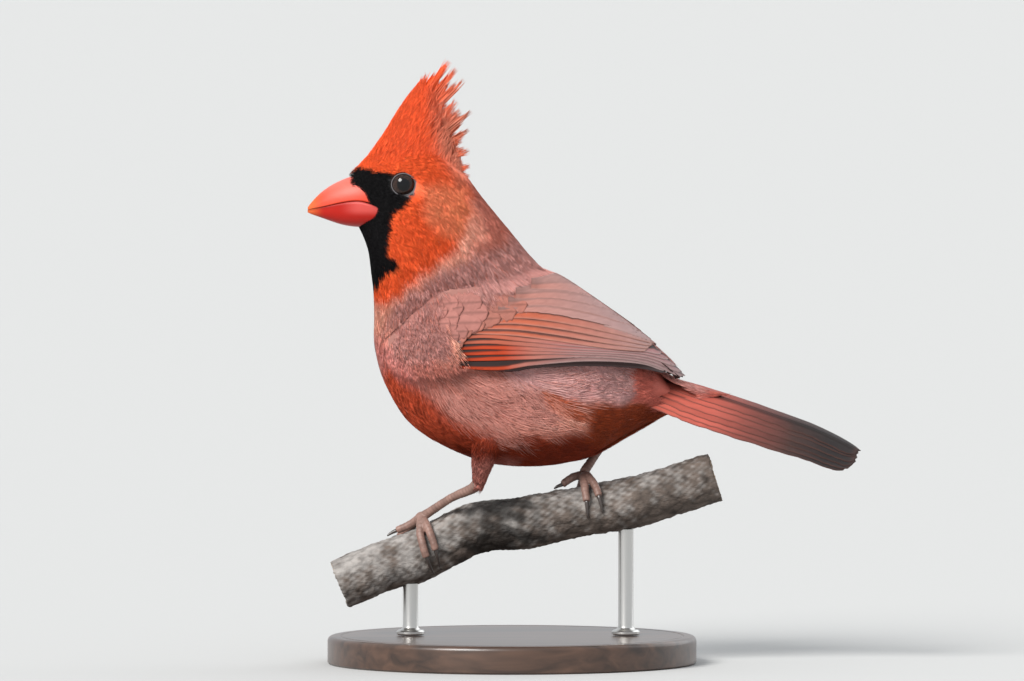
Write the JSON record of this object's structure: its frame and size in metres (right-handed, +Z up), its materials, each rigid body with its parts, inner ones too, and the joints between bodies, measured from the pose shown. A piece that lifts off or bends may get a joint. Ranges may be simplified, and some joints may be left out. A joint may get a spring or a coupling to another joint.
{
  "type": "northern cardinal",
  "caption": "Still life-size model of a male northern cardinal with raised crest, gripping a short cut branch that two rods hold over a round base.",
  "frame": {"origin": "centre of the flat underside of the display base", "axes": "+Z up; the bird faces -X along the branch, with its left side towards -Y"},
  "size_m": [0.1802, 0.12, 0.1966],
  "materials": {
    "plumage": "matte",
    "flight_feathers": "matte",
    "wing_coverts": "matte",
    "tail_feathers": "matte",
    "bill_horn": "satin",
    "eye": "gloss",
    "leg_scales": "satin",
    "claw_horn": "satin",
    "bark": "rough",
    "stand_wood": "satin lacquer",
    "stand_rods": "brushed"
  },
  "bodies": {
    "root": {"head": "plumage", "crest": "plumage", "neck": "plumage", "trunk": "plumage", "tail_coverts": "plumage", "thigh_left": "plumage", "thigh_right": "plumage", "wing_left": "wing_coverts", "wing_right": "wing_coverts", "secondaries_left": "flight_feathers", "secondaries_right": "flight_feathers", "primaries_left": "flight_feathers", "primaries_right": "flight_feathers", "tail": "tail_feathers", "bill_upper": "bill_horn", "bill_lower": "bill_horn", "eye_left": "eye", "eye_right": "eye", "tarsus_left": "leg_scales", "tarsus_right": "leg_scales", "foot_left": "leg_scales", "foot_right": "leg_scales", "perch": "bark", "stand_base": "stand_wood", "stand_rod_1": "stand_rods", "stand_rod_2": "stand_rods", "claw_left_1": "claw_horn", "claw_left_2": "claw_horn", "claw_left_3": "claw_horn", "claw_left_4": "claw_horn", "claw_right_1": "claw_horn", "claw_right_2": "claw_horn", "claw_right_3": "claw_horn", "claw_right_4": "claw_horn"}
  },
  "joints": []
}
